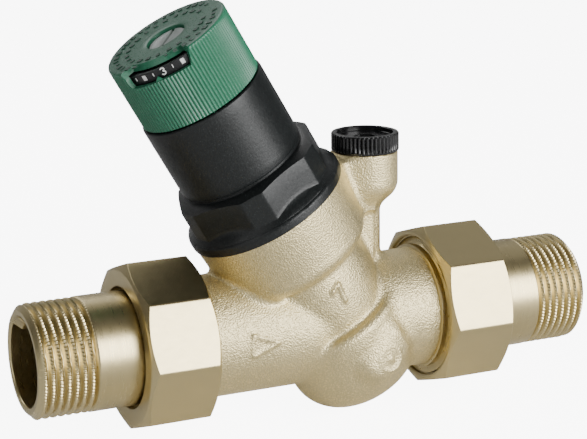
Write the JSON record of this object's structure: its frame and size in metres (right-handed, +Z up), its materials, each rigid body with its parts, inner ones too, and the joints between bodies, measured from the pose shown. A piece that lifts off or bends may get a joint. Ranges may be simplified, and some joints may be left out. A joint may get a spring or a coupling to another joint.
{
  "type": "water pressure regulator",
  "caption": "In-line water pressure regulator: brass body with tilted spring bonnet and dial knob, gauge port boss, and threaded union tailpieces at both ends.",
  "frame": {"origin": "centre of the inlet tailpiece's end face, where the pipework starts", "axes": "+X along the pipe from inlet to outlet, +Z up with the gauge port's axis, +Y to the left of the flow; the spring bonnet leans 30 degrees from +Z towards the inlet"},
  "size_m": [0.1765, 0.0506, 0.1255],
  "materials": {
    "cast_brass": "satin champagne brass, shot-blasted casting skin",
    "machined_brass": "turned and milled brass, fine tool marks",
    "black_polymer": "glass-filled black polymer, faintly speckled",
    "green_polymer": "moulded green polymer, satin",
    "dial_black": "black dial with white marks",
    "grey_polymer": "light grey moulded polymer",
    "plug_black": "gloss black polymer, knurled rim",
    "insert_polymer": "white low-friction polymer",
    "stainless": "stainless steel, turned or pressed",
    "spindle_steel": "rolled steel spindle",
    "spring_steel": "spring steel wire",
    "seal_rubber": "black seal rubber",
    "gasket_fibre": "pressed fibre sealing ring"
  },
  "bodies": {
    "body": {"body_casting": "cast_brass", "spring_bonnet": "black_polymer", "diaphragm": "seal_rubber", "diaphragm_slip_ring": "insert_polymer", "cartridge_head": "insert_polymer", "stem_guide_bush": "insert_polymer", "stem_o_ring": "seal_rubber", "cartridge_head_o_ring": "seal_rubber", "cartridge_cage": "insert_polymer", "strainer_frame": "insert_polymer", "strainer_mesh": "stainless", "valve_seat_ring": "stainless", "seat_o_ring": "seal_rubber", "scale_ring": "dial_black", "spindle_thrust_washer": "stainless", "adjusting_spring": "spring_steel"},
    "knob": {"adjusting_knob": "green_polymer", "adjusting_spindle": "spindle_steel", "spindle_snap_ring": "stainless"},
    "lock_screw": {"lock_screw": "grey_polymer"},
    "spring_plate": {"upper_spring_plate": "insert_polymer"},
    "valve": {"valve_stem": "stainless", "valve_disc_holder": "machined_brass", "valve_disc_seal": "seal_rubber", "valve_disc_screw": "stainless", "diaphragm_backing_washer": "stainless", "diaphragm_pressure_plate": "stainless", "diaphragm_nut": "machined_brass"},
    "inlet_tail": {"inlet_tailpiece": "machined_brass", "inlet_gasket": "gasket_fibre"},
    "inlet_nut": {"inlet_union_nut": "machined_brass"},
    "outlet_tail": {"outlet_tailpiece": "machined_brass", "outlet_gasket": "gasket_fibre"},
    "outlet_nut": {"outlet_union_nut": "machined_brass"},
    "plug_seal": {"gauge_plug_o_ring": "seal_rubber"},
    "plug": {"gauge_port_plug": "plug_black"}
  },
  "joints": [
    {"name": "knob_turn", "type": "hinge", "parent": "body", "child": "knob", "pos_m": [0.097, 0, 0], "axis": [-0.5, 0, 0.866], "range_deg": [-126, 63]},
    {"name": "spring_plate_slide", "type": "slide", "parent": "body", "child": "spring_plate", "axis": [-0.5, 0, 0.866], "range_m": [-0.0028, 0.0014], "deforming": ["adjusting_spring"]},
    {"name": "lock_screw_turn", "type": "hinge", "parent": "knob", "child": "lock_screw", "pos_m": [0.097, 0, 0], "axis": [-0.5, 0, 0.866], "range_deg": [0, 180]},
    {"name": "valve_stroke", "type": "slide", "parent": "body", "child": "valve", "axis": [-0.5, 0, 0.866], "range_m": [0, 0.0025], "stiffness_N_per_m": 20000, "springref_m": -0.0136, "deforming": ["diaphragm"]},
    {"name": "inlet_tail_slide", "type": "slide", "parent": "body", "child": "inlet_tail", "axis": [-1, 0, 0], "range_m": [0, 0.00924]},
    {"name": "inlet_nut_turn", "type": "hinge", "parent": "inlet_tail", "child": "inlet_nut", "pos_m": [0, 0, 0], "axis": [-1, 0, 0], "range_deg": [0, 1440]},
    {"name": "outlet_tail_slide", "type": "slide", "parent": "body", "child": "outlet_tail", "axis": [1, 0, 0], "range_m": [0, 0.00924]},
    {"name": "outlet_nut_turn", "type": "hinge", "parent": "outlet_tail", "child": "outlet_nut", "pos_m": [0.1765, 0, 0], "axis": [1, 0, 0], "range_deg": [0, 1440]},
    {"name": "plug_rise", "type": "slide", "parent": "body", "child": "plug_seal", "axis": [0, 0, 1], "range_m": [0, 0.00668]},
    {"name": "plug_turn", "type": "hinge", "parent": "plug_seal", "child": "plug", "pos_m": [0.108, 0, 0], "axis": [0, 0, 1], "range_deg": [0, 1800]}
  ],
  "couplings": [
    {"joint": "knob_turn", "follows": "spring_plate_slide", "rad_per_m": 785.4},
    {"joint": "inlet_nut_turn", "follows": "inlet_tail_slide", "rad_per_m": 2721.2},
    {"joint": "outlet_nut_turn", "follows": "outlet_tail_slide", "rad_per_m": 2721.2},
    {"joint": "plug_turn", "follows": "plug_rise", "rad_per_m": 4699.5}
  ]
}
